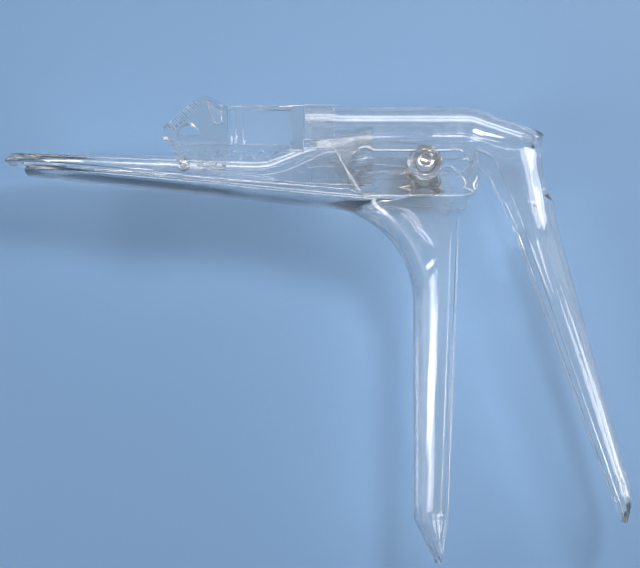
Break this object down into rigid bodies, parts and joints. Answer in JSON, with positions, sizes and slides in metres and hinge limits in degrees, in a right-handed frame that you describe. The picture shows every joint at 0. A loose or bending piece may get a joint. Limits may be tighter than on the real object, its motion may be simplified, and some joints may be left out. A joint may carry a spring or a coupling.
{
  "type": "bivalve speculum",
  "caption": "Clear plastic bivalve speculum: hinged trough blades, a squeeze handle whose hood slides on slotted side plates, and a toothed ratchet bar with a thumb catch.",
  "frame": {"origin": "on the hinge axis, at the flat end face of the far hinge pin, level with the slot plate that the instrument lies on", "axes": "+X along the blades from their tips to the handles, +Y from the lower valve to the upper blade, +Z across the width of the blades and up from the surface it lies on"},
  "size_m": [0.1909, 0.1398, 0.0407],
  "materials": {
    "clear_plastic": "clear, glossy moulded polystyrene"
  },
  "bodies": {
    "lower": {"lower_valve": "clear_plastic"},
    "upper": {"upper_blade": "clear_plastic", "hinge_pin_near": "clear_plastic", "hinge_pin_far": "clear_plastic", "catch_pin": "clear_plastic"},
    "slide": {"slide_handle": "clear_plastic", "ratchet_bar": "clear_plastic"},
    "catch": {"thumb_catch": "clear_plastic"}
  },
  "joints": [
    {"name": "valve_hinge", "type": "hinge", "parent": "lower", "child": "upper", "pos_m": [0, 0, 0.02], "axis": [0, 0, -1], "range_deg": [0, 20]},
    {"name": "handle_slide", "type": "slide", "parent": "upper", "child": "slide", "axis": [1, 0, 0], "range_m": [0, 0.01305]},
    {"name": "catch_press", "type": "hinge", "parent": "upper", "child": "catch", "pos_m": [-0.0724, -0.0008, 0.0394], "axis": [0, 0, 1], "range_deg": [0, 9], "stiffness_Nm_per_rad": 0.02}
  ]
}
